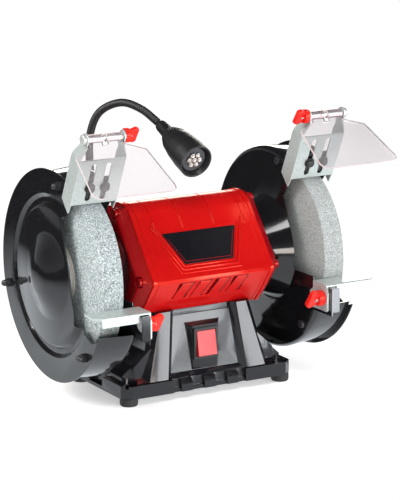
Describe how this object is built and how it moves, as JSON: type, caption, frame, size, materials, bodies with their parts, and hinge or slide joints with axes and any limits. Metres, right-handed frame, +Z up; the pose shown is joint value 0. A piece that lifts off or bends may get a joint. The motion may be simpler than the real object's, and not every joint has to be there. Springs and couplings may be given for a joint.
{
  "type": "bench grinder",
  "caption": "Double-wheel bench grinder with drum guards, tool rests, tilting eye shields, a rocker switch on a pedestal base and a bendable work lamp.",
  "frame": {"origin": "on the bench under the middle of the spindle, between the four feet", "axes": "+X along the spindle towards the right wheel, -Y towards the user, +Z up"},
  "size_m": [0.3813, 0.25, 0.3138],
  "materials": {
    "red_enamel": "gloss",
    "dark_red_enamel": "gloss",
    "black_enamel": "gloss",
    "zinc_steel": "satin",
    "black_screws": "satin",
    "bright_steel": "satin",
    "lamination_steel": "matte",
    "copper_winding": "gloss",
    "abrasive_coarse": "matte",
    "abrasive_fine": "matte",
    "paper": "matte",
    "bush_plastic": "matte",
    "base_plastic": "gloss",
    "foot_rubber": "matte",
    "red_plastic": "satin",
    "red_rocker": "gloss",
    "black_plastic": "satin",
    "clear_plastic": "gloss",
    "neck_skin": "matte",
    "led_white": "gloss",
    "badge_black": "gloss",
    "can_metal": "satin",
    "terminal_plastic": "matte"
  },
  "bodies": {
    "frame": {"motor_housing": "red_enamel", "bearing_outer_rings": "bright_steel", "stator_core": "lamination_steel", "stator_windings": "copper_winding", "bearing_wave_washer": "bright_steel", "right_end_shield": "dark_red_enamel", "left_end_shield": "dark_red_enamel", "end_shield_screws": "black_screws", "right_guard_drum": "black_enamel", "left_guard_drum": "black_enamel", "right_guard_cover": "black_enamel", "left_guard_cover": "black_enamel", "guard_bolts": "black_screws", "guard_nuts": "black_screws", "guard_mount_screws": "black_screws", "rest_bolts": "zinc_steel", "deflector_screws": "black_screws", "base_housing": "base_plastic", "base_plate": "black_enamel", "rubber_feet": "foot_rubber", "housing_screws": "bright_steel", "switch_bezel": "black_plastic", "switch_body": "black_plastic", "cable_gland": "black_plastic", "capacitor": "can_metal", "terminal_block": "terminal_plastic", "badge_plate": "badge_black", "lamp_socket": "base_plastic"},
    "spindle": {"spindle_shaft": "bright_steel", "rotor_core": "lamination_steel", "bearing_inner_rings": "bright_steel", "bearing_balls": "bright_steel", "inner_wheel_flanges": "zinc_steel", "outer_wheel_flanges": "zinc_steel", "wheel_bushes": "bush_plastic", "wheel_blotters": "paper", "spindle_nuts": "zinc_steel", "right_wheel": "abrasive_fine", "left_wheel": "abrasive_coarse"},
    "rocker": {"switch_rocker": "red_rocker"},
    "left_rest": {"left_tool_rest": "zinc_steel"},
    "right_rest": {"right_tool_rest": "zinc_steel"},
    "left_rest_clamp": {"left_rest_knob": "red_plastic"},
    "right_rest_clamp": {"right_rest_knob": "red_plastic"},
    "left_deflector": {"left_deflector_bracket": "zinc_steel", "left_pivot_bolt": "zinc_steel"},
    "right_deflector": {"right_deflector_bracket": "zinc_steel", "right_pivot_bolt": "zinc_steel"},
    "left_shield": {"left_eye_shield": "clear_plastic"},
    "right_shield": {"right_eye_shield": "clear_plastic"},
    "left_shield_clamp": {"left_deflector_knob": "red_plastic"},
    "right_shield_clamp": {"right_deflector_knob": "red_plastic"},
    "lamp_stem": {"lamp_neck_lower": "neck_skin"},
    "lamp_bow": {"lamp_neck_middle": "neck_skin"},
    "lamp_reach": {"lamp_neck_upper": "neck_skin"},
    "lamp": {"lamp_head": "black_plastic", "lamp_leds": "led_white"}
  },
  "joints": [
    {"name": "spindle_spin", "type": "hinge", "parent": "frame", "child": "spindle", "pos_m": [0, 0, 0.14], "axis": [1, 0, 0], "continuous": true},
    {"name": "switch_rock", "type": "hinge", "parent": "frame", "child": "rocker", "pos_m": [0, -0.0555, 0.0565], "axis": [1, 0, 0], "range_deg": [0, 16]},
    {"name": "left_rest_slide", "type": "slide", "parent": "frame", "child": "left_rest", "axis": [0, -1, 0], "range_m": [-0.004, 0.01]},
    {"name": "right_rest_slide", "type": "slide", "parent": "frame", "child": "right_rest", "axis": [0, -1, 0], "range_m": [-0.0012, 0.01]},
    {"name": "left_rest_knob_turn", "type": "hinge", "parent": "frame", "child": "left_rest_clamp", "pos_m": [-0.1, -0.119, 0.107], "axis": [1, 0, 0], "continuous": true},
    {"name": "right_rest_knob_turn", "type": "hinge", "parent": "frame", "child": "right_rest_clamp", "pos_m": [0.1, -0.119, 0.107], "axis": [1, 0, 0], "continuous": true},
    {"name": "left_deflector_slide", "type": "slide", "parent": "frame", "child": "left_deflector", "axis": [0, -0.4099, 0.9121], "range_m": [-0.001, 0.013]},
    {"name": "right_deflector_slide", "type": "slide", "parent": "frame", "child": "right_deflector", "axis": [0, -0.4099, 0.9121], "range_m": [-0.001, 0.013]},
    {"name": "left_shield_tilt", "type": "hinge", "parent": "left_deflector", "child": "left_shield", "pos_m": [-0.1362, -0.08, 0.30095], "axis": [-1, 0, 0], "range_deg": [0, 75]},
    {"name": "right_shield_tilt", "type": "hinge", "parent": "right_deflector", "child": "right_shield", "pos_m": [0.1362, -0.08, 0.30095], "axis": [-1, 0, 0], "range_deg": [-10, 65]},
    {"name": "left_shield_knob_turn", "type": "hinge", "parent": "left_deflector", "child": "left_shield_clamp", "pos_m": [-0.105, -0.08, 0.30095], "axis": [1, 0, 0], "continuous": true},
    {"name": "right_shield_knob_turn", "type": "hinge", "parent": "right_deflector", "child": "right_shield_clamp", "pos_m": [0.105, -0.08, 0.30095], "axis": [1, 0, 0], "continuous": true},
    {"name": "lamp_swivel", "type": "hinge", "parent": "frame", "child": "lamp_stem", "pos_m": [-0.066, 0.084, 0.158], "axis": [0, 0, 1], "range_deg": [-15, 120]},
    {"name": "lamp_elbow_bend", "type": "hinge", "parent": "lamp_stem", "child": "lamp_bow", "pos_m": [-0.066, 0.084, 0.272], "axis": [-0.7682, -0.6402, 0], "range_deg": [-2, 30]},
    {"name": "lamp_crown_bend", "type": "hinge", "parent": "lamp_bow", "child": "lamp_reach", "pos_m": [-0.0415, 0.0565, 0.31], "axis": [-0.7682, -0.6402, 0], "range_deg": [-2, 30]},
    {"name": "lamp_head_tilt", "type": "hinge", "parent": "lamp_reach", "child": "lamp", "pos_m": [-0.0153, 0.0215, 0.29], "axis": [-1, 0, 0], "range_deg": [-8, 35]}
  ]
}
